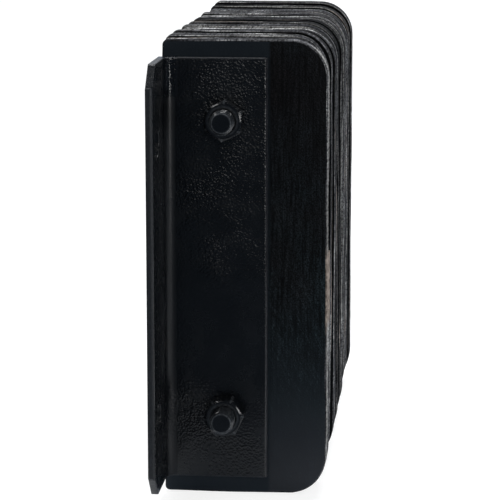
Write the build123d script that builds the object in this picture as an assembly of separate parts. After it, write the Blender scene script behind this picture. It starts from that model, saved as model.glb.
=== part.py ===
from build123d import *
import math
import os
import random

# Laminated rubber dock bumper, millimetres.
# X runs along the bumper, centred. Y=0 is the wall plane and the bumper stands out towards -Y.
# Z is up, with z=0 at mid-height. The origin is the centre of the wall anchor pattern.
# The rods go through the stack from the nut end (-X) to the weld end (+X).

# Rubber plies
ply_height = 304.8
projection = 111.1  # from the wall to the impact face
wall_gap = 1.1  # the rubber stands clear of the wall
impact_corner_r = 25.4
wall_corner_r = 5.0
ply_gauges = {"light": 12.75, "medium": 16.5, "heavy": 19.0}
ply_order = (
    "medium heavy medium light heavy medium light medium heavy medium "
    "light medium heavy medium light medium heavy medium medium heavy"
).split()
ply_edge_spread = 1.4  # how far a die-cut edge may fall short of full size
short_plies = {3: 3.2, 10: 2.6}  # plies cut clearly small, and by how much on each edge
ply_seed = 7

# End angles
angle_setback = 12.7  # each end of an angle stops this far short of the plies
leg_width = 71.4  # against the rubber
flange_width = 63.5  # in the wall plane, pointing away from the rubber
angle_thickness = 4.76
heel_fillet_r = 6.4
toe_r = 2.4
flange_corner_cut = 14.3

# Wall anchor holes, one pair in each flange
anchor_hole_d = 20.6
anchor_edge_distance = 19.05  # from the flange's free edge
anchor_spacing_z = 177.8

# Tie rods and their fastening
rod_d = 15.875
rod_from_wall = 43.7
rod_spacing_z = 196.0
rod_mid_z = 2.0  # the pair of rods sits slightly above mid-height
rod_end_chamfer = 1.6
rod_beyond_nut = {"lower": 13.5, "upper": 10.5}
rod_beyond_far_leg = 7.0
rod_hole_clearance = 1.6  # on the diameter, in the angles and in the rubber
nut_turn = {"lower": 66.0, "upper": 86.0}  # where the first corner of each nut points, degrees
nut_chamfer_angle = 30.0
weld_leg = 5.0

# Sizes that follow from the ones above
ply_thicknesses = [ply_gauges[gauge] for gauge in ply_order]
stack_length = sum(ply_thicknesses)
stack_start = -stack_length / 2
angle_height = ply_height - 2 * angle_setback
anchor_from_heel = flange_width - anchor_edge_distance
rod_hole_d = rod_d + rod_hole_clearance
nut_across_flats = 1.5 * rod_d  # the proportions of a standard hex nut
nut_thickness = 0.875 * rod_d
rod_y = -rod_from_wall
rod_z = {"lower": rod_mid_z - rod_spacing_z / 2, "upper": rod_mid_z + rod_spacing_z / 2}
ply_sides = ("wall", "impact", "top", "bottom")


def export(shape, name):
    """Write one named piece."""
    shape.label = name
    export_step(shape, f"parts/{name}.step")


def x_cylinder(diameter, start, end, y, z):
    """A round bar along X from start to end."""
    plane = Plane(origin=(start, y, z), x_dir=(0, 1, 0), z_dir=(1, 0, 0))
    return extrude(plane * Circle(diameter / 2), end - start)


def ply(start, thickness, edges):
    """One die-cut ply: square to the rods, its two impact-side corners rounded large."""
    back = -wall_gap - edges["wall"]
    front = -projection + edges["impact"]
    top = ply_height / 2 - edges["top"]
    bottom = -ply_height / 2 + edges["bottom"]
    plane = Plane(origin=(start, 0, 0), x_dir=(0, 1, 0), z_dir=(1, 0, 0))
    outline = make_face(Polyline((back, top), (front, top), (front, bottom), (back, bottom), close=True))
    impact_side = outline.vertices().sort_by(Axis.X)[:2]
    outline = fillet(impact_side, impact_corner_r)
    wall_side = outline.vertices().sort_by(Axis.X)[-2:]
    outline = fillet(wall_side, wall_corner_r)
    for z in rod_z.values():
        outline -= Pos(rod_y, z) * Circle(rod_hole_d / 2)
    return extrude(plane * outline, thickness)


def end_angle(side):
    """The steel angle at one end: side is -1 for the nut end, +1 for the weld end.

    The profile is drawn with u away from the stack and y towards the wall, so that the leg
    lies on the rubber at u=0 and the flange has its back in the wall plane.
    """
    profile = make_face(
        Polyline(
            (0, 0),
            (flange_width, 0),
            (flange_width, -angle_thickness),
            (angle_thickness, -angle_thickness),
            (angle_thickness, -leg_width),
            (0, -leg_width),
            close=True,
        )
    )
    heel = profile.vertices().sort_by_distance((angle_thickness, -angle_thickness))[0]
    profile = fillet(heel, heel_fillet_r)
    for toe in ((flange_width, -angle_thickness), (angle_thickness, -leg_width)):
        profile = fillet(profile.vertices().sort_by_distance(toe)[0], toe_r)
    bar = extrude(Plane.XY * profile, angle_height / 2, both=True)

    # The two free corners of the flange are cut off at 45 degrees.
    cut = flange_corner_cut
    for end in (-1, 1):
        corner = Polyline(
            (flange_width - cut, end * angle_height / 2),
            (flange_width, end * (angle_height / 2 - cut)),
            (flange_width, end * angle_height / 2),
            close=True,
        )
        wedge = extrude(Plane.XZ * make_face(corner), 2 * angle_thickness, both=True)
        bar -= wedge

    for z in (-anchor_spacing_z / 2, anchor_spacing_z / 2):
        hole = Plane.XZ * Pos(anchor_from_heel, z) * Circle(anchor_hole_d / 2)
        bar -= extrude(hole, 2 * angle_thickness, both=True)
    for z in rod_z.values():
        bar -= x_cylinder(rod_hole_d, -angle_thickness, 2 * angle_thickness, rod_y, z)

    bar = bar.solid()
    if side < 0:
        bar = bar.mirror(Plane.YZ)
    return Pos(side * stack_length / 2, 0, 0) * bar


def tie_rod(level):
    """A round rod from beyond its nut to just beyond the far angle, both ends chamfered."""
    start = -stack_length / 2 - angle_thickness - nut_thickness - rod_beyond_nut[level]
    end = stack_length / 2 + angle_thickness + rod_beyond_far_leg
    rod = x_cylinder(rod_d, start, end, rod_y, rod_z[level])
    return chamfer(rod.edges().filter_by(GeomType.CIRCLE), rod_end_chamfer)


def hex_nut(level):
    """A hex nut seated on the leg of the nut-end angle, its corners chamfered on both faces."""
    seat = -stack_length / 2 - angle_thickness
    plane = Plane(origin=(seat, rod_y, rod_z[level]), x_dir=(0, -1, 0), z_dir=(-1, 0, 0))
    hexagon = RegularPolygon(nut_across_flats / 2, 6, major_radius=False, rotation=nut_turn[level])
    nut = extrude(plane * (hexagon - Circle(rod_d / 2)), nut_thickness)

    # Both faces are turned down to a cone that leaves a round of the width across flats.
    corner_r = nut_across_flats / math.sqrt(3)
    face_r = 0.47 * nut_across_flats
    drop = (corner_r - face_r) * math.tan(math.radians(nut_chamfer_angle))
    turned = Polyline(
        (0, 0),
        (face_r, 0),
        (corner_r, drop),
        (corner_r, nut_thickness - drop),
        (face_r, nut_thickness),
        (0, nut_thickness),
        close=True,
    )
    blank = revolve(Plane.XZ * make_face(turned), Axis.Z)
    return nut & (plane.location * blank)


def rod_weld(level):
    """The fillet weld round a rod where it leaves the far angle."""
    face = stack_length / 2 + angle_thickness
    rod_r = rod_d / 2
    bead = make_face(Polyline((rod_r, 0), (rod_r + weld_leg, 0), (rod_r, weld_leg), close=True))
    ring = revolve(Plane.XZ * bead, Axis.Z)
    plane = Plane(origin=(face, rod_y, rod_z[level]), x_dir=(0, 1, 0), z_dir=(1, 0, 0))
    return plane.location * ring


os.makedirs("parts", exist_ok=True)

edge_draw = random.Random(ply_seed)
x = stack_start
for number, thickness in enumerate(ply_thicknesses, start=1):
    short = short_plies.get(number, 0.0)
    edges = {side: short + edge_draw.uniform(0, ply_edge_spread) for side in ply_sides}
    export(ply(x, thickness, edges), f"ply_{number:02d}")
    x += thickness

export(end_angle(-1), "nut_end_angle")
export(end_angle(1), "weld_end_angle")
for level in ("lower", "upper"):
    export(tie_rod(level), f"tie_rod_{level}")
    export(hex_nut(level), f"hex_nut_{level}")
    export(rod_weld(level), f"rod_weld_{level}")
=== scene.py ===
import math
import random
from types import SimpleNamespace

import bmesh
import bpy
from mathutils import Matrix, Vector, noise


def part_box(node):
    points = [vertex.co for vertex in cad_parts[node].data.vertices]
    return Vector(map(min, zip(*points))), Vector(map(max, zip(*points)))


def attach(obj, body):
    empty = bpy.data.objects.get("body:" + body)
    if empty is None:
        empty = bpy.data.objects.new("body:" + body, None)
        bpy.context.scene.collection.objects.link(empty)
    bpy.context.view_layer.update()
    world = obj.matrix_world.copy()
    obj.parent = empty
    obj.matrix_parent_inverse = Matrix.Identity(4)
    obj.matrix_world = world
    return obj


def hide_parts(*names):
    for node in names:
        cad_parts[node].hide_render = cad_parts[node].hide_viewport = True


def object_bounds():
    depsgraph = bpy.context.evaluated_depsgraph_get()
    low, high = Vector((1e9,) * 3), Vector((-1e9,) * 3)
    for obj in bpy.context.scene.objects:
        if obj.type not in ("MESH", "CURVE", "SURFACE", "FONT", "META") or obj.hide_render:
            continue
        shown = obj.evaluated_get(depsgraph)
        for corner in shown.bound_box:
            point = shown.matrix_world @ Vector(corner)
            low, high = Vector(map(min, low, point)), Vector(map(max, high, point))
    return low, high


MM = 0.001

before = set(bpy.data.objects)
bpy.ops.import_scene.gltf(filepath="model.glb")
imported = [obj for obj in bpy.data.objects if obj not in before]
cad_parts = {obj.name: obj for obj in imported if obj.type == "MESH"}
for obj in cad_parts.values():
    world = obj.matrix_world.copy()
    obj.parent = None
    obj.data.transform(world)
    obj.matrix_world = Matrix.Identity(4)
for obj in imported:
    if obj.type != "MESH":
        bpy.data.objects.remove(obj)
cad_low, cad_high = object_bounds()

PLIES = sorted(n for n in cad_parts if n.startswith("ply_"))
LEVELS = ("lower", "upper")

# Sizes that the boxes of the nodes don't give, in metres
IMPACT_CORNER_R = 25.4 * MM
WALL_CORNER_R = 4.2 * MM
ROD_HOLE_D = 17.475 * MM
THREAD_PITCH = 2.309 * MM
THREAD_DEPTH = 0.95 * MM  # paint lies in the roots
THREAD_LENGTH = 42.0 * MM
ROD_END_CHAMFER = 1.6 * MM
NUT_BORE_LEAD = 1.1 * MM  # countersink at each face of a nut
NUT_TURN = {"lower": math.radians(66.0), "upper": math.radians(86.0)}
ANGLE_THICKNESS = 4.76 * MM
HEEL_FILLET_R = 6.4 * MM
LEG_EDGE_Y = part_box("nut_end_angle")[0].y

# Where the enamel went on thick and dimpled on the leg: y, z and reach of each spot
HEAVY_PAINT = (
    (-50 * MM, 128 * MM, 46 * MM),
    (-52 * MM, 92 * MM, 46 * MM),
    (-44 * MM, 52 * MM, 44 * MM),
    (-50 * MM, 12 * MM, 36 * MM),
    (-20 * MM, -98 * MM, 36 * MM),
    (-44 * MM, -126 * MM, 34 * MM),
)
PAINT_RUN_Z = (113 * MM, 121 * MM)  # a run of paint in the angles' corner fades in over this height


# ---------------------------------------------------------------- small helpers


def add_object(name, mesh, materials):
    """Puts a mesh in the scene as a piece that rides on the frame."""
    piece = bpy.data.objects.new(name, mesh)
    bpy.context.scene.collection.objects.link(piece)
    for material in materials:
        mesh.materials.append(material)
    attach(piece, "root")
    return piece


def finish_mesh(bm, name, sharp_degrees):
    """Turns a bmesh into a smooth-shaded mesh with its real corners kept sharp."""
    bmesh.ops.recalc_face_normals(bm, faces=bm.faces)
    mesh = bpy.data.meshes.new(name)
    bm.to_mesh(mesh)
    bm.free()
    mesh.shade_smooth()
    mesh.set_sharp_from_angle(angle=math.radians(sharp_degrees))
    return mesh


def weighted_normals(piece):
    """Lets the large flat faces keep their own normals next to small bevels."""
    made = piece.modifiers.new("flat faces stay flat", "WEIGHTED_NORMAL")
    made.keep_sharp = True


def smooth_step(low, high, value):
    t = min(max((value - low) / (high - low), 0.0), 1.0)
    return t * t * (3.0 - 2.0 * t)


def turns(count):
    """Evenly spaced angles all the way round."""
    return [math.tau * i / count for i in range(count)]


def skin_rings(bm, rings):
    """Joins neighbouring rings of the same number of points with quads."""
    count = len(rings[0])
    for near, far in zip(rings, rings[1:]):
        for i in range(count):
            j = (i + 1) % count
            bm.faces.new((near[i], near[j], far[j], far[i]))


# ---------------------------------------------------------------- node graphs


class Graph:
    """Short calls that build the node tree of a material or a world."""

    def __init__(self, owner, output="OutputMaterial", coordinates="Object"):
        owner.use_nodes = True
        self.owner = owner
        self.tree = owner.node_tree
        self.tree.nodes.clear()
        self.output = self.node(output)
        self.place = self.node("TexCoord").outputs[coordinates]

    def feed(self, socket, value):
        if isinstance(value, bpy.types.Node):
            value = value.outputs[0]
        if isinstance(value, bpy.types.NodeSocket):
            self.tree.links.new(value, socket)
        else:
            socket.default_value = value

    def node(self, kind, inputs=None, **settings):
        made = self.tree.nodes.new("ShaderNode" + kind)
        for key, value in settings.items():
            setattr(made, key, value)
        for key, value in (inputs or {}).items():
            self.feed(made.inputs[key], value)
        return made

    def axis(self, name):
        """One coordinate of the place."""
        return self.node("SeparateXYZ", {0: self.place}).outputs[name]

    def stretched(self, scale):
        """The place, stretched by one factor for each axis."""
        return self.node("VectorMath", {0: self.place, 1: scale}, operation="MULTIPLY")

    def noise(self, vector, scale, detail, roughness):
        inputs = {"Vector": vector, "Scale": scale, "Detail": detail, "Roughness": roughness}
        return self.node("TexNoise", inputs)

    def span(self, value, start, end, low=0.0, high=1.0):
        """Goes from low to high while the value goes from start to end, and stays there beyond."""
        inputs = {"Value": value, "From Min": start, "From Max": end, "To Min": low, "To Max": high}
        return self.node("MapRange", inputs).outputs["Result"]

    def ramp(self, value, *stops):
        """A colour ramp. Each stop is a place from 0 to 1 and a grey or a colour."""
        made = self.node("ValToRGB", {"Fac": value})
        band = made.color_ramp
        while len(band.elements) < len(stops):
            band.elements.new(0.5)
        for element, (position, colour) in zip(band.elements, stops):
            element.position = position
            if isinstance(colour, (int, float)):
                colour = (colour, colour, colour)
            element.color = (*colour, 1.0)
        return made

    def math(self, operation, a, b=0.0):
        return self.node("Math", {0: a, 1: b}, operation=operation)

    def plus(self, a, b):
        return self.math("ADD", a, b)

    def times(self, a, b):
        return self.math("MULTIPLY", a, b)

    def larger(self, a, b):
        return self.math("MAXIMUM", a, b)

    def without(self, mask):
        return self.math("SUBTRACT", 1.0, mask)

    def mix(self, factor, a, b, blend="MIX"):
        made = self.node("Mix", data_type="RGBA", blend_type=blend)
        for key, value in (("Factor", factor), ("A", a), ("B", b)):
            socket = next(s for s in made.inputs if s.name == key and s.enabled)
            if isinstance(value, tuple) and len(value) == 3:
                value = (*value, 1.0)
            self.feed(socket, value)
        return next(s for s in made.outputs if s.enabled)

    def tint(self, colour, by, amount=1.0):
        """Multiplies a colour by a grey or another colour, as far as the amount says."""
        return self.mix(amount, colour, by, "MULTIPLY")

    def bump(self, height, distance, strength=1.0, normal=None):
        inputs = {"Height": height, "Distance": distance, "Strength": strength}
        if normal is not None:
            inputs["Normal"] = normal
        return self.node("Bump", inputs)

    def spot(self, y, z, reach):
        """A soft round spot on the faces across the rods: 1 at its middle, 0 at its reach."""
        offset = {0: self.place, 1: (0.0, 1.0, 1.0), 2: (0.0, -y, -z)}
        offset = self.node("VectorMath", offset, operation="MULTIPLY_ADD")
        away = self.node("VectorMath", {0: offset}, operation="LENGTH").outputs["Value"]
        return self.span(away, 0.4 * reach, reach, 1.0, 0.0)

    def attribute(self, name):
        return self.node("Attribute", attribute_name=name).outputs["Fac"]

    def show(self, shader):
        self.tree.links.new(shader.outputs[0], self.output.inputs["Surface"])

    def surface(self, inputs):
        self.show(self.node("BsdfPrincipled", inputs))
        return self.owner


# ---------------------------------------------------------------- rubber


def face_rubber():
    """The flat faces of the plies: dark skived tyre rubber, lighter, bluer and smoother towards the bottom.
    """
    g = Graph(bpy.data.materials.new("ply_rubber_face"))
    streaks = g.noise(g.stretched((60.0, 640.0, 40.0)), 1.0, 4.0, 0.7)
    turned = g.node("Mapping", {"Vector": g.place, "Rotation": (math.radians(28.0), 0.0, 0.0)})
    turned = g.node("VectorMath", {0: turned, 1: (40.0, 1300.0, 60.0)}, operation="MULTIPLY")
    scratches = g.noise(turned, 1.0, 2.0, 0.5)
    mottle = g.noise(g.place, 1150.0, 2.0, 0.75)
    clouds = g.noise(g.place, 15.0, 4.0, 0.6)

    colour = g.ramp(clouds, (0.36, (0.0024, 0.0022, 0.0025)), (0.64, (0.0034, 0.0047, 0.0056)))
    colour = g.tint(colour, g.ramp(streaks, (0.38, 0.3), (0.62, 2.2)))
    colour = g.tint(colour, g.ramp(mottle, (0.38, 0.1), (0.64, 3.0)))
    height = g.axis("Z")
    scratched = g.span(height, 30 * MM, -50 * MM, 0.25, 0.9)
    colour = g.tint(colour, g.ramp(scratches, (0.45, 0.75), (0.68, 2.2)), scratched)
    colour = g.tint(colour, (1.5, 1.9, 1.9), g.span(height, 100 * MM, 30 * MM))
    smooth = g.span(height, -10 * MM, -100 * MM, 0.0, 0.9)
    lower_tone = g.ramp(
        g.span(height, -40 * MM, -140 * MM),
        (0.0, (0.0095, 0.0135, 0.0165)),
        (0.3, (0.013, 0.0185, 0.0235)),
        (0.5, (0.0175, 0.0237, 0.029)),
        (0.72, (0.023, 0.027, 0.033)),
        (1.0, (0.036, 0.039, 0.045)),
    )
    colour = g.mix(smooth, colour, lower_tone)
    # Overspray from the angle lies on the rubber above and below its leg; its lighter bluish colour is a
    # painted sheen of that gloss.
    beside_leg = g.span(g.axis("Y"), LEG_EDGE_Y - 2 * MM, LEG_EDGE_Y)
    colour = g.mix(g.times(beside_leg, 0.8), colour, (0.016, 0.023, 0.030))
    # Painted shade: the rims of the faces are darkened where the gap to the next ply would shade them.
    gap_shade = g.attribute("gap_shade_and_dark_arris")
    colour = g.mix(gap_shade, colour, (0.0008, 0.0008, 0.0010))

    rough = g.larger(g.ramp(streaks, (0.38, 0.42), (0.62, 0.6)), gap_shade)
    relief = g.plus(g.times(streaks, 1.1), g.times(scratches, 0.8))
    relief = g.plus(relief, g.times(mottle, 1.3))
    bumped = g.bump(g.times(relief, g.without(smooth)), 0.14 * MM)
    return g.surface({"Base Color": colour, "Roughness": rough, "Normal": bumped, "Specular IOR Level": 0.13})


def edge_rubber():
    """The cut edges of the plies: strata run round each ply, cut marks run across it."""
    g = Graph(bpy.data.materials.new("ply_rubber_edge"))
    strata = g.noise(g.stretched((230.0, 10.0, 10.0)), 1.0, 4.0, 0.7)
    cuts = g.noise(g.stretched((90.0, 760.0, 760.0)), 1.0, 3.0, 0.7)
    blotches = g.noise(g.stretched((70.0, 45.0, 45.0)), 1.0, 3.0, 0.6)
    grime = g.noise(g.place, 260.0, 4.0, 0.7)

    colour = g.ramp(
        strata,
        (0.37, (0.004, 0.0044, 0.0054)),
        (0.47, (0.018, 0.0185, 0.021)),
        (0.56, (0.070, 0.071, 0.075)),
        (0.64, (0.40, 0.40, 0.39)),
    )
    colour = g.tint(colour, g.ramp(cuts, (0.38, 0.2), (0.62, 2.0)))
    colour = g.tint(colour, g.ramp(blotches, (0.38, 0.3), (0.62, 1.5)), 0.8)
    colour = g.tint(colour, g.ramp(g.attribute("tone"), (0.0, 0.25), (1.0, 1.6)))
    # Light arrises: wear, and a painted highlight where a rounded arris catches the light.
    worn_and_highlit = g.times(g.attribute("worn_rim_and_highlight"), g.ramp(cuts, (0.38, 0.15), (0.58, 1.0)))
    colour = g.mix(worn_and_highlit, colour, (0.52, 0.51, 0.48))
    cord = g.mix(g.ramp(grime, (0.4, 0.0), (0.56, 1.0)), (0.13, 0.10, 0.082), (0.42, 0.35, 0.295))
    colour = g.mix(g.attribute("cord"), colour, cord)
    # Painted shade in the gaps between plies, and the first ply's dark arris.
    colour = g.mix(g.attribute("gap_shade_and_dark_arris"), colour, (0.0012, 0.0013, 0.0016))

    rough = g.ramp(blotches, (0.3, 0.72), (0.7, 0.95))
    relief = g.plus(g.times(cuts, 2.0), g.times(strata, 4.0))
    bumped = g.bump(relief, 0.14 * MM)
    return g.surface({"Base Color": colour, "Roughness": rough, "Normal": bumped, "Specular IOR Level": 0.03})


# ---------------------------------------------------------------- paint


def sheared_edges(g):
    """1 along the sheared edges of an end angle, where the paint has drawn thin, and 0 elsewhere."""
    low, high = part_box("nut_end_angle")
    ends = g.span(g.math("ABSOLUTE", g.axis("X")), -low.x - 1.2 * MM, -low.x - 0.6 * MM)
    top_and_bottom = g.span(g.math("ABSOLUTE", g.axis("Z")), high.z - 1.1 * MM, high.z - 0.5 * MM)
    leg_edge = g.span(g.axis("Y"), low.y + 1.1 * MM, low.y + 0.5 * MM)
    return g.larger(g.larger(ends, top_and_bottom), leg_edge)


def angle_corner(g):
    """1 in the corner between an end angle's leg and flange, and 0 elsewhere."""
    leg_face = ANGLE_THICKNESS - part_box(PLIES[0])[0].x
    past_fillet = 1.3 * HEEL_FILLET_R
    from_middle = g.math("ABSOLUTE", g.axis("X"))
    beside_leg = g.span(from_middle, leg_face + past_fillet, leg_face + HEEL_FILLET_R)
    wall_side = -ANGLE_THICKNESS - past_fillet
    return g.times(beside_leg, g.span(g.axis("Y"), wall_side, wall_side + 2 * MM))


def enamel(
    name,
    dimple_depth,
    rough=(0.12, 0.24),
    colour=(0.0034, 0.0044, 0.0058),
    thin_paint_and_highlight_colour=(0.024, 0.027, 0.032),
    thin_rough=0.5,
    on_angle=False,
):
    """Thick black gloss enamel, dimpled like leather in patches, dull where it has drawn thin.

    On an end angle it is thin along the sheared edges, and on other pieces where the piece's
    "thin_paint_and_highlight" attribute says; on the nuts and rods that light colour is also a painted
    highlight.
    """
    g = Graph(bpy.data.materials.new(name))
    uneven = g.ramp(g.noise(g.place, 34.0, 2.0, 0.5), (0.34, 0.45), (0.56, 1.0))
    heavy = 0.22
    for y, z, reach in HEAVY_PAINT:
        heavy = g.larger(heavy, g.spot(y, z, reach))
    thin_paint_and_highlight = sheared_edges(g) if on_angle else g.attribute("thin_paint_and_highlight")
    patches = g.times(g.times(uneven, heavy), g.without(thin_paint_and_highlight))
    dimples = {"Vector": g.place, "Scale": 640.0, "Smoothness": 0.35}
    dimples = g.node("TexVoronoi", feature="SMOOTH_F1", inputs=dimples).outputs["Distance"]
    ripple = g.noise(g.place, 640.0, 2.0, 0.6)
    bumped = g.bump(g.times(g.plus(dimples, g.times(ripple, 0.9)), patches), dimple_depth)
    swell = g.noise(g.place, 70.0, 2.0, 0.5)
    bumped = g.bump(swell, 0.5 * MM, 0.3, bumped)

    tone = g.ramp(g.noise(g.place, 30.0, 4.0, 0.6), (0.3, 0.6), (0.7, 1.5))
    body = g.tint(colour, tone)
    # Lighter where the paint is thin; on the nuts and rods this lighter colour is also a painted highlight.
    body = g.mix(g.times(thin_paint_and_highlight, g.ramp(ripple, (0.36, 0.4), (0.6, 1.0))), body, thin_paint_and_highlight_colour)
    gloss = g.ramp(g.noise(g.place, 60.0, 4.0, 0.62), (0.38, rough[0]), (0.68, rough[1]))
    gloss = g.larger(gloss, g.times(thin_paint_and_highlight, thin_rough))
    if on_angle:
        # The corner between leg and flange is dull, but for a wavy run of paint near its top.
        corner = angle_corner(g)
        run = g.times(corner, g.span(g.axis("Z"), *PAINT_RUN_Z))
        gloss = g.larger(gloss, g.times(g.math("SUBTRACT", corner, run), 0.36))
        gloss = g.times(gloss, g.without(g.times(run, 0.7)))
        waves = g.times(g.noise(g.place, 330.0, 2.0, 0.5), run)
        bumped = g.bump(waves, 0.5 * MM, normal=bumped)
    return g.surface({"Base Color": body, "Roughness": gloss, "Normal": bumped})


# ---------------------------------------------------------------- rubber plies

OUTLINE_STEP = 2.6 * MM  # between the points round a ply
RING_STEP = 1.15 * MM  # between the rings through its thickness, on average
EDGE_WANDER = 0.9 * MM  # how far a cut edge strays
EDGE_ROUGHNESS = 0.10 * MM
GAP_SHADE_REACH = 0.45 * MM  # how far from a face the edge is painted dark, as painted shade from the gap to the next ply
ROD_HOLE_SIDES = 24

SLIT_END_Z = 7.5 * MM  # above this the second ply is cut short, below it the first two are skived
SLIT_DEPTH = 1.5 * MM
SKIVED_END_Z = (-44 * MM, -33 * MM)  # the skived stretch fades out over this height
THIRD_PLY_CORNER_CUT = 2.2 * MM  # how far the third ply is cut off round its impact-side corners

# The plies at the ends, as they show: arris, lean, drop, tone, and wear with its painted highlight
END_PLIES = {
    1: (1.3 * MM, -0.2 * MM, 0.1 * MM, 0.8, 0.7),
    2: (0.7 * MM, -0.1 * MM, 0.0, 0.6, 0.9),
    # Plies 3 and 5 sit lower than their neighbours; their tone of 0 is painted shade in that recess.
    3: (0.7 * MM, 0.0, 0.8 * MM, 0.0, 0.0),
    4: (0.4 * MM, 0.1 * MM, 0.0, 0.9, 1.0),
    5: (0.5 * MM, 0.0, 0.7 * MM, 0.0, 0.1),
    6: (0.4 * MM, 0.1 * MM, 0.2 * MM, 0.6, 0.5),
    20: (0.5 * MM, 0.0, 0.0, 0.8, 0.8),
}


def rod_centre(level):
    low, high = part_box(f"tie_rod_{level}")
    return (low.y + high.y) / 2, (low.z + high.z) / 2


def rounded_outline(low, high, step):
    """Points and outward normals round a ply, in Y and Z, with its four rounded corners."""
    corners = (
        (high.y - WALL_CORNER_R, high.z - WALL_CORNER_R, WALL_CORNER_R, 0.0),
        (low.y + IMPACT_CORNER_R, high.z - IMPACT_CORNER_R, IMPACT_CORNER_R, 90.0),
        (low.y + IMPACT_CORNER_R, low.z + IMPACT_CORNER_R, IMPACT_CORNER_R, 180.0),
        (high.y - WALL_CORNER_R, low.z + WALL_CORNER_R, WALL_CORNER_R, 270.0),
    )
    points = []
    for k, (y, z, r, start) in enumerate(corners):
        steps = max(5, round(r * math.pi / 2 / step))
        for i in range(steps + 1):
            a = math.radians(start + 90.0 * i / steps)
            points.append((y + r * math.cos(a), z + r * math.sin(a), math.cos(a), math.sin(a)))
        next_y, next_z, next_r, next_start = corners[(k + 1) % len(corners)]
        a = math.radians(next_start)
        end_y, end_z = next_y + next_r * math.cos(a), next_z + next_r * math.sin(a)
        y0, z0 = points[-1][:2]
        count = max(2, round(math.hypot(end_y - y0, end_z - z0) / step))
        for i in range(1, count):
            t = i / count
            points.append((y0 + (end_y - y0) * t, z0 + (end_z - z0) * t, math.cos(a), math.sin(a)))
    return points


def with_step(outline, level):
    """The outline with two close points on its impact side, so that its edge can step at a level."""
    pairs = zip(range(len(outline)), outline, outline[1:])
    here = next(i for i, p, q in pairs if p[2] < -0.99 and q[2] < -0.99 and p[1] >= level > q[1])
    y = outline[here][0]
    close = [(y, level + 0.12 * MM, -1.0, 0.0), (y, level - 0.12 * MM, -1.0, 0.0)]
    return outline[: here + 1] + close + outline[here + 1 :]


def ring_places(count):
    """Places through a ply from 0 to 1, closer together near its faces."""
    margin = 0.035  # the cosine starts and ends this far from 0 and 1
    for j in range(count + 1):
        t = 0.5 - 0.5 * math.cos(math.pi * (0.12 + 0.76 * j / count))
        yield min(max((t - margin) / (1.0 - 2.0 * margin), 0.0), 1.0)


def cut_of(node, number, draw):
    """How one ply was cut and worn. The draws are made for every ply, also where they aren't used."""
    low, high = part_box(node)
    ply = SimpleNamespace(
        number=number,
        low=low,
        high=high,
        thickness=high.x - low.x,
        seed=Vector((number * 7.3, number * 3.1, number * 11.7)),
        # centre through the thickness, depth and width of each groove
        grooves=[
            (draw.uniform(0.12, 0.88), draw.uniform(0.25, 0.75) * MM, draw.uniform(0.5, 1.0) * MM)
            for _ in range(draw.choice((1, 2, 2, 3)))
        ],
        arris=draw.uniform(0.4, 1.1) * MM,
        lean=draw.uniform(-0.5, 0.5) * MM,
        bulge=draw.uniform(0.0, 0.5) * MM,
        drop=draw.uniform(0.0, 1.1) * MM,
        tone=draw.uniform(0.0, 1.0),
        wear_and_highlight=draw.uniform(0.2, 1.0),
    )
    if number in END_PLIES:
        ply.arris, ply.lean, ply.drop, ply.tone, ply.wear_and_highlight = END_PLIES[number]
    return ply


def edge_inset(ply, t, y, z, ny, nz):
    """How far a point of a ply's edge lies inside its box."""
    where = Vector((ply.low.x + ply.thickness * t, y, z))
    wander = noise.noise(Vector((where.x * 8, y * 17, z * 17)) + ply.seed)
    rough = noise.fractal(where * 240 + ply.seed, 1.0, 2.0, 3)
    inset = ply.drop + EDGE_WANDER * max(0.0, 0.35 + wander) + EDGE_ROUGHNESS * (1.0 + rough)
    from_face = min(t, 1.0 - t) * ply.thickness
    if from_face < ply.arris:
        k = 1.0 - from_face / ply.arris
        inset += ply.arris * 0.75 * (1.0 - math.sqrt(1.0 - k * k))
    drift = 0.05 * noise.noise(Vector((0.0, y * 9, z * 9)) + ply.seed)
    for centre, depth, width in ply.grooves:
        off = (t - centre - drift) * ply.thickness / width
        strength = smooth_step(-0.35, 0.25, noise.noise(Vector((centre * 9, y * 22, z * 22)) + ply.seed))
        inset += depth * strength * math.exp(-2.0 * off * off)
    inset += ply.lean * (t - 0.5) + abs(ply.lean) * 0.5
    inset += ply.bulge * (2.0 * t - 1.0) ** 2
    if ply.number == 3:
        inset += THIRD_PLY_CORNER_CUT * smooth_step(0.15, 0.6, min(abs(nz), -ny) * 1.2)
    if ply.number == 2 and z > SLIT_END_Z:
        inset += SLIT_DEPTH * smooth_step(0.5, 0.95, -ny)
    return inset


def cord_showing(ply, t, y, z, ny):
    """How much pale tyre cord shows at a point of a ply's edge, from 0 to 1."""
    skived = 0.0
    if ply.number <= 3 and ny < -0.7:
        # On the impact side the first plies are skived down to the cord for a stretch.
        ragged = noise.noise(Vector((ply.number * 5.0 + t * 3.0, 0.0, z * 160.0)))
        skived = 0.95 * smooth_step(*SKIVED_END_Z, z + 6 * MM * ragged)
        if ply.number == 1:
            skived *= 1.0 - smooth_step(SLIT_END_Z, SLIT_END_Z + 8 * MM, z - 4 * MM * ragged)
        elif z >= SLIT_END_Z:
            skived = 0.0
        if ply.number == 3 and t >= 0.3:
            skived *= 0.1
    patch = noise.noise(Vector((t * 2.5, y * 16.0, z * 16.0)) + ply.seed * 1.7)
    return max(skived, 0.55 * smooth_step(0.46, 0.66, patch))


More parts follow.
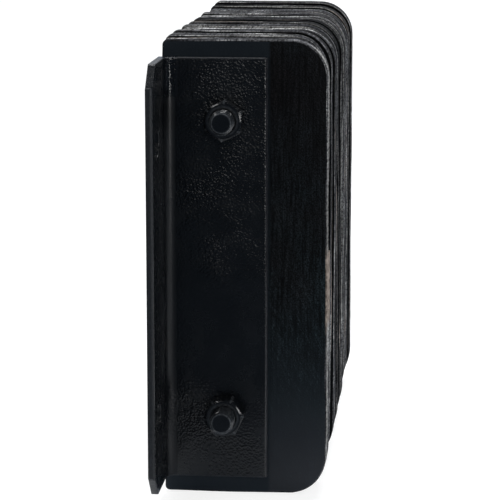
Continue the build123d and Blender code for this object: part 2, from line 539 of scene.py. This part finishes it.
def edge_marks(ply, t, y, z, ny, at_face):
    """What the rubber's materials read at a point of a ply's edge: tone, cord, a worn rim with a painted
    highlight, and painted shade from the gaps between plies together with the first ply's dark arris.
    """
    from_face = min(t, 1.0 - t) * ply.thickness
    cord = cord_showing(ply, t, y, z, ny)
    patchy = smooth_step(-0.5, 0.3, noise.noise(Vector((t * 2.0, y * 40, z * 40)) + ply.seed * 2.1))
    # Lighter along the arrises: partly wear, partly a painted highlight.
    worn_rim_and_highlight = ply.wear_and_highlight * patchy * (1.0 - smooth_step(0.5 * ply.arris, 1.5 * ply.arris, from_face))
    # Painted shade: the edge is darkened next to each face, where the gap to the next ply lies.
    gap_shade_and_dark_arris = 0.9 * (1.0 - smooth_step(0.0, GAP_SHADE_REACH, from_face))
    if ply.number == len(PLIES) and t > 0.5:
        gap_shade_and_dark_arris = 0.0
    if ply.number == 1 and t < 0.5:
        # The first ply's own arris is as dark as its face, but where the cord shows.
        on_arris = 1.0 - smooth_step(0.75 * ply.arris, 1.1 * ply.arris, from_face)
        dark = 0.75 * on_arris * smooth_step(0.2, 0.9, -ny) * (1.0 - cord)
        gap_shade_and_dark_arris = 0.0 if at_face else dark
        worn_rim_and_highlight *= 1.0 - on_arris
    # The first ply's side on the impact side is painted light as a highlight line.
    if ply.number == 1 and from_face > 1.1 * ply.arris:
        worn_rim_and_highlight = max(worn_rim_and_highlight, 0.5 * smooth_step(0.5, 0.9, -ny))
    return {"tone": ply.tone, "cord": cord, "worn_rim_and_highlight": worn_rim_and_highlight, "gap_shade_and_dark_arris": gap_shade_and_dark_arris}


def add_pierced_faces(bm, rings):
    """Closes both faces of a ply, with the two rod holes left open and lined."""
    holes = {level: [] for level in LEVELS}
    for ring in (rings[0], rings[-1]):
        edges = [bm.edges.get(pair) for pair in zip(ring, ring[1:] + ring[:1])]
        x = ring[0].co.x
        for level in LEVELS:
            y, z = rod_centre(level)
            r = ROD_HOLE_D / 2
            hole = [
                bm.verts.new((x, y + r * math.cos(a), z + r * math.sin(a))) for a in turns(ROD_HOLE_SIDES)
            ]
            edges += [bm.edges.new(pair) for pair in zip(hole, hole[1:] + hole[:1])]
            holes[level].append(hole)
        bmesh.ops.triangle_fill(bm, use_beauty=True, edges=edges)
    for level in LEVELS:
        skin_rings(bm, holes[level])


def ply_piece(node, number, draw, materials):
    """One ply with its edge cut unevenly: softened arrises, fabric grooves and a wavering line."""
    ply = cut_of(node, number, draw)
    outline = rounded_outline(ply.low, ply.high, OUTLINE_STEP)
    if number <= 2:
        outline = with_step(outline, SLIT_END_Z)
    ring_count = max(11, round(ply.thickness / RING_STEP))

    bm = bmesh.new()
    layers = {name: bm.verts.layers.float.new(name) for name in ("tone", "cord", "worn_rim_and_highlight", "gap_shade_and_dark_arris")}
    rings = []
    for t in ring_places(ring_count):
        ring = []
        for y, z, ny, nz in outline:
            inset = edge_inset(ply, t, y, z, ny, nz)
            vert = bm.verts.new((ply.low.x + ply.thickness * t, y - ny * inset, z - nz * inset))
            for name, value in edge_marks(ply, t, y, z, ny, at_face=not rings).items():
                vert[layers[name]] = value
            ring.append(vert)
        rings.append(ring)
    skin_rings(bm, rings)
    cut_edge = set(bm.faces)
    add_pierced_faces(bm, rings)
    for face in bm.faces:
        face.material_index = 1 if face in cut_edge else 0

    piece = add_object(f"{node}_rubber", finish_mesh(bm, node, 45.0), materials)
    weighted_normals(piece)
    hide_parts(node)


# ---------------------------------------------------------------- end angles

ANGLE_ARRIS = 0.45 * MM
ANGLE_SHARP_DEGREES = 32.0


def angle_piece(node, material):
    """The end angle: the CAD shape with its sheared edges softened by the paint."""
    bm = bmesh.new()
    bm.from_mesh(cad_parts[node].data)
    bmesh.ops.remove_doubles(bm, verts=bm.verts, dist=0.001 * MM)
    bmesh.ops.dissolve_limit(bm, angle_limit=math.radians(1.0), verts=bm.verts, edges=bm.edges)
    piece = add_object(f"{node}_painted", finish_mesh(bm, node, ANGLE_SHARP_DEGREES), [material])
    soft = piece.modifiers.new("soft arrises", "BEVEL")
    soft.limit_method = "ANGLE"
    soft.angle_limit = math.radians(ANGLE_SHARP_DEGREES)
    soft.width = ANGLE_ARRIS
    soft.segments = 3
    weighted_normals(piece)
    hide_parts(node)


# ---------------------------------------------------------------- rods, nuts and welds

ROD_SEGMENTS = 56
NUT_SEGMENTS = 180
WELD_SEGMENTS = 168
WELD_RIPPLES = 19
WELD_ROWS = 11


def around_x(x, y, z, r, a):
    """A point at radius r and angle a round a rod, seen from the nut end: 0 points to -Y."""
    return (x, y - r * math.cos(a), z + r * math.sin(a))


def rod_radius(level):
    low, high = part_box(f"tie_rod_{level}")
    return (high.z - low.z) / 2


def rod_piece(level, material):
    """A tie rod: a rolled thread at the nut end, a plain shank and a chamfered far end."""
    node = f"tie_rod_{level}"
    low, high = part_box(node)
    y, z = rod_centre(level)
    radius = rod_radius(level)
    length = high.x - low.x
    stations = [0.0]
    while stations[-1] < THREAD_LENGTH:
        stations.append(stations[-1] + THREAD_PITCH / 9)
    stations += [length - 8 * MM, length - ROD_END_CHAMFER, length - 0.4 * ROD_END_CHAMFER, length]

    def radius_at(s, a):
        """The radius at a distance from the nut end and an angle round the rod."""
        thread = (s / THREAD_PITCH + a / math.tau) % 1.0
        flank = smooth_step(0.08, 0.45, abs(thread - 0.5))
        run_out = 1.0 - smooth_step(THREAD_LENGTH - 4 * MM, THREAD_LENGTH, s)
        r = radius - THREAD_DEPTH * flank * run_out
        for from_end in (s, length - s):
            r = min(r, radius - ROD_END_CHAMFER + from_end * 0.95)
        return r

    def thin_paint_and_highlight_at(s):
        """The paint draws thin on the two arrises of an end's chamfer, which are painted light as a highlight
        ring.
        """
        from_end = min(s, length - s)
        if from_end >= 2.5 * MM:
            return 0.1
        arrises = (0.1 * MM, ROD_END_CHAMFER)
        return max(0.15, *(1.0 - abs(from_end - arris) / (0.4 * MM) for arris in arrises))

    bm = bmesh.new()
    thin_paint_and_highlight_layer = bm.verts.layers.float.new("thin_paint_and_highlight")
    rings = []
    for s in stations:
        ring = [bm.verts.new(around_x(low.x + s, y, z, radius_at(s, a), a)) for a in turns(ROD_SEGMENTS)]
        for vert in ring:
            vert[thin_paint_and_highlight_layer] = thin_paint_and_highlight_at(s)
        rings.append(ring)
    skin_rings(bm, rings)
    for ring in (rings[0], rings[-1]):
        inner = ring
        x = ring[0].co.x
        for share in (0.86, 0.45, 0.08):
            r = (radius - ROD_END_CHAMFER) * share
            points = [bm.verts.new(around_x(x, y, z, r, a)) for a in turns(ROD_SEGMENTS)]
            skin_rings(bm, [inner, points])
            inner = points
        bm.faces.new(inner)
    piece = add_object(f"{node}_threaded", finish_mesh(bm, node, 38.0), [material])
    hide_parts(node)


def nut_piece(level, material):
    """A hex nut: flats that run into a turned chamfer at both faces, and a countersunk bore."""
    node = f"hex_nut_{level}"
    low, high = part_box(node)
    y, z = rod_centre(level)
    bore = rod_radius(level)
    height = high.x - low.x
    flats = 1.5 * bore  # half the width across flats
    face_r = 0.94 * flats

    def hexagon(a):
        """Distance from the axis to the side, with its corners slightly rounded."""
        power = 46.0
        sides = (a - NUT_TURN[level] - math.radians(30 + 60 * k) for k in range(6))
        total = sum(max(0.0, math.cos(side)) ** power for side in sides)
        return flats / total ** (1.0 / power)

    def chamfered(depth):
        """The outline at a depth below either face, which both are turned to a cone."""
        cone = face_r + depth / math.tan(math.radians(30.0))
        return lambda a: min(hexagon(a), cone)

    # Distance from the outer face, and the radius at an angle, of each ring from bore to bore
    depths = [s * MM for s in (0.0, 0.12, 0.25, 0.45, 0.7, 1.0, 1.35, 1.75, 2.2, 2.8)]
    rows = [(0.0, lambda a: bore + NUT_BORE_LEAD), (0.0, lambda a: face_r * 0.97)]
    rows += [(depth, chamfered(depth)) for depth in depths]
    rows += [(height * share, hexagon) for share in (0.3, 0.4, 0.5, 0.6, 0.7)]
    rows += [(height - depth, chamfered(depth)) for depth in reversed(depths)]
    rows += [(height, lambda a: face_r * 0.97), (height, lambda a: bore + NUT_BORE_LEAD)]
    rows += [(height - NUT_BORE_LEAD, lambda a: bore), (NUT_BORE_LEAD, lambda a: bore)]

    def thin_paint_and_highlight_at(r, a):
        """The paint draws thin on the nut's six corners and in the mouth of its bore, which are painted light
        as highlights.
        """
        corner = smooth_step(1.10 * flats, 1.15 * flats, hexagon(a)) if r > face_r else 0.0
        mouth = 0.45 if r < bore + 1.2 * NUT_BORE_LEAD else 0.0
        return max(0.5 * corner, mouth)

    bm = bmesh.new()
    thin_paint_and_highlight_layer = bm.verts.layers.float.new("thin_paint_and_highlight")
    rings = []
    for s, radius_at in rows:
        ring = []
        for a in turns(NUT_SEGMENTS):
            vert = bm.verts.new(around_x(low.x + s, y, z, radius_at(a), a))
            vert[thin_paint_and_highlight_layer] = thin_paint_and_highlight_at(radius_at(a), a)
            ring.append(vert)
        rings.append(ring)
    skin_rings(bm, rings + [rings[0]])
    piece = add_object(f"{node}_painted", finish_mesh(bm, node, 24.0), [material])
    weighted_normals(piece)
    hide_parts(node)


def weld_piece(level, material):
    """The weld bead round a rod on the far angle: overlapping ripples of a hand weld."""
    node = f"rod_weld_{level}"
    low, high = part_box(node)
    y, z = rod_centre(level)
    leg = high.x - low.x
    root = rod_radius(level) - 0.05 * MM  # just inside the rod's skin

    def reach_at(a, turn):
        """From the root to the bead's surface, at an angle up the bead and one round the rod."""
        phase = (turn * WELD_RIPPLES / math.tau + 0.35 * math.sin(2 * a)) % 1.0
        ripple = 1.0 - 0.10 * (1.0 - math.sqrt(1.0 - (2 * phase - 1) ** 2))
        here = Vector((3 * math.cos(turn), 3 * math.sin(turn), leg * 90))
        wander = 1.0 - 0.10 * (0.5 + 0.5 * noise.noise(here))
        convex = 1.0 - 0.22 * math.sin(2 * a)
        return leg * ripple * wander * convex

    bm = bmesh.new()
    rings = []
    for j in range(WELD_ROWS + 1):
        a = math.pi / 2 * j / WELD_ROWS
        ring = []
        for turn in turns(WELD_SEGMENTS):
            reach = reach_at(a, turn)
            point = around_x(low.x + reach * math.sin(a), y, z, root + reach * math.cos(a), turn)
            ring.append(bm.verts.new(point))
        rings.append(ring)
    base = [bm.verts.new(around_x(low.x, y, z, root, turn)) for turn in turns(WELD_SEGMENTS)]
    skin_rings(bm, [base] + rings + [base])
    piece = add_object(f"{node}_bead", finish_mesh(bm, node, 60.0), [material])
    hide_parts(node)


# ---------------------------------------------------------------- the object

rubber = (face_rubber(), edge_rubber())
angle_paint = enamel("angle_paint", 0.42 * MM, rough=(0.19, 0.32), on_angle=True)
fastener_paint = enamel(
    "fastener_paint",
    0.05 * MM,
    colour=(0.005, 0.0062, 0.008),
    # Light grey where the paint is thin: partly worn paint, partly a painted highlight.
    thin_paint_and_highlight_colour=(0.14, 0.15, 0.16),
    thin_rough=0.2,
)
weld_paint = enamel("weld_paint", 0.035 * MM)

ply_draw = random.Random(11)
for ply_number, ply_node in enumerate(PLIES, start=1):
    ply_piece(ply_node, ply_number, ply_draw, rubber)
for angle_node in ("nut_end_angle", "weld_end_angle"):
    angle_piece(angle_node, angle_paint)
for rod_level in LEVELS:
    rod_piece(rod_level, fastener_paint)
    nut_piece(rod_level, fastener_paint)
    weld_piece(rod_level, weld_paint)


# ---------------------------------------------------------------- studio


def aim(thing, target):
    thing.rotation_euler = (target - thing.location).to_track_quat("-Z", "Y").to_euler()


def area_light(name, place, target, watts, width, height):
    """A soft box at a place, aimed at a target."""
    data = bpy.data.lights.new(name, "AREA")
    data.energy = watts
    data.shape = "RECTANGLE"
    data.size = width
    data.size_y = height
    light = bpy.data.objects.new(name, data)
    bpy.context.scene.collection.objects.link(light)
    light.location = place
    aim(light, Vector(target))


def studio_floor(level):
    """White paper under the object that fades to black cloth well in front of the nut end.

    The cloth only shows in what the object mirrors; the paper stays plain for the camera.
    """
    reach = 6.0
    corners = [(-reach, -reach, level), (reach, -reach, level), (reach, reach, level), (-reach, reach, level)]
    mesh = bpy.data.meshes.new("floor")
    mesh.from_pydata(corners, [], [(0, 1, 2, 3)])
    floor = bpy.data.objects.new("floor", mesh)
    bpy.context.scene.collection.objects.link(floor)

    g = Graph(bpy.data.materials.new("floor_paper"))
    cloth = g.node("BsdfDiffuse", {"Color": g.span(g.axis("X"), -0.35, -0.20, 0.02, 1.0)})
    haze = g.node("Emission", {"Color": (0.75, 1.0, 1.35, 1.0), "Strength": 0.08})
    mirrored = g.node("AddShader", {0: cloth, 1: haze})
    paper = g.node("BsdfDiffuse", {"Color": (0.3, 0.3, 0.3, 1.0)})
    away = g.node("VectorMath", {0: g.place}, operation="LENGTH").outputs["Value"]
    glow = {"Color": (1.0, 1.0, 1.0, 1.0), "Strength": g.span(away, 0.35, 1.3, 0.84, 1.0)}
    seen = g.node("AddShader", {0: paper, 1: g.node("Emission", glow)})
    by_camera = g.node("LightPath").outputs["Is Camera Ray"]
    g.show(g.node("MixShader", {0: by_camera, 1: mirrored, 2: seen}))
    mesh.materials.append(g.owner)


def studio_world():
    """White behind the object, dim in front of it, and white wherever the camera looks."""
    world = bpy.data.worlds.new("studio")
    bpy.context.scene.world = world
    g = Graph(world, "OutputWorld", "Generated")
    strength = g.span(g.axis("X"), -0.35, 0.75, 0.05, 0.35)
    lit = g.node("Background", {"Color": (0.86, 0.97, 1.15, 1.0), "Strength": strength})
    seen = g.node("Background", {"Color": (1.0, 1.0, 1.0, 1.0), "Strength": 1.0})
    by_camera = g.node("LightPath").outputs["Is Camera Ray"]
    g.show(g.node("MixShader", {0: by_camera, 1: lit, 2: seen}))


def studio_camera():
    """Looks along the bumper from the nut end, a little from the impact side and above."""
    data = bpy.data.cameras.new("camera")
    data.lens = 159.9
    data.clip_start = 0.05
    data.clip_end = 50.0
    camera = bpy.data.objects.new("camera", data)
    bpy.context.scene.collection.objects.link(camera)
    near_face_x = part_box(PLIES[0])[0].x
    camera.location = (near_face_x - 1.4236, -0.1947, 0.2791)
    yaw, pitch = math.radians(5.42), math.radians(-10.53)
    forward = (math.cos(yaw) * math.cos(pitch), math.sin(yaw) * math.cos(pitch), math.sin(pitch))
    aim(camera, camera.location + Vector(forward))
    bpy.context.scene.camera = camera


studio_floor(cad_low.z)
studio_world()
# name, place, target, watts, width and height
area_light("top", (0.4, -0.1, 1.25), (0.0, -0.05, 0.0), 21.0, 0.9, 0.7)
area_light("impact_side", (-0.05, -1.05, 0.95), (-0.1, -0.05, 0.05), 1.5, 0.2, 0.2)
area_light("wall_side", (-0.2, 1.25, 1.15), (0.0, 0.0, 0.0), 8.0, 0.9, 0.9)
area_light("front_high", (-1.9, -0.45, 0.66), (-0.2, -0.04, 0.05), 2.6, 0.42, 0.42)
area_light("front_right", (-0.95, -0.95, 0.17), (-0.2, -0.02, 0.17), 2.4, 0.3, 0.44)
area_light("front_left", (-0.95, 0.58, 0.98), (-0.2, -0.05, 0.1), 2.4, 0.4, 0.4)
studio_camera()
bpy.context.scene.view_settings.view_transform = "Standard"
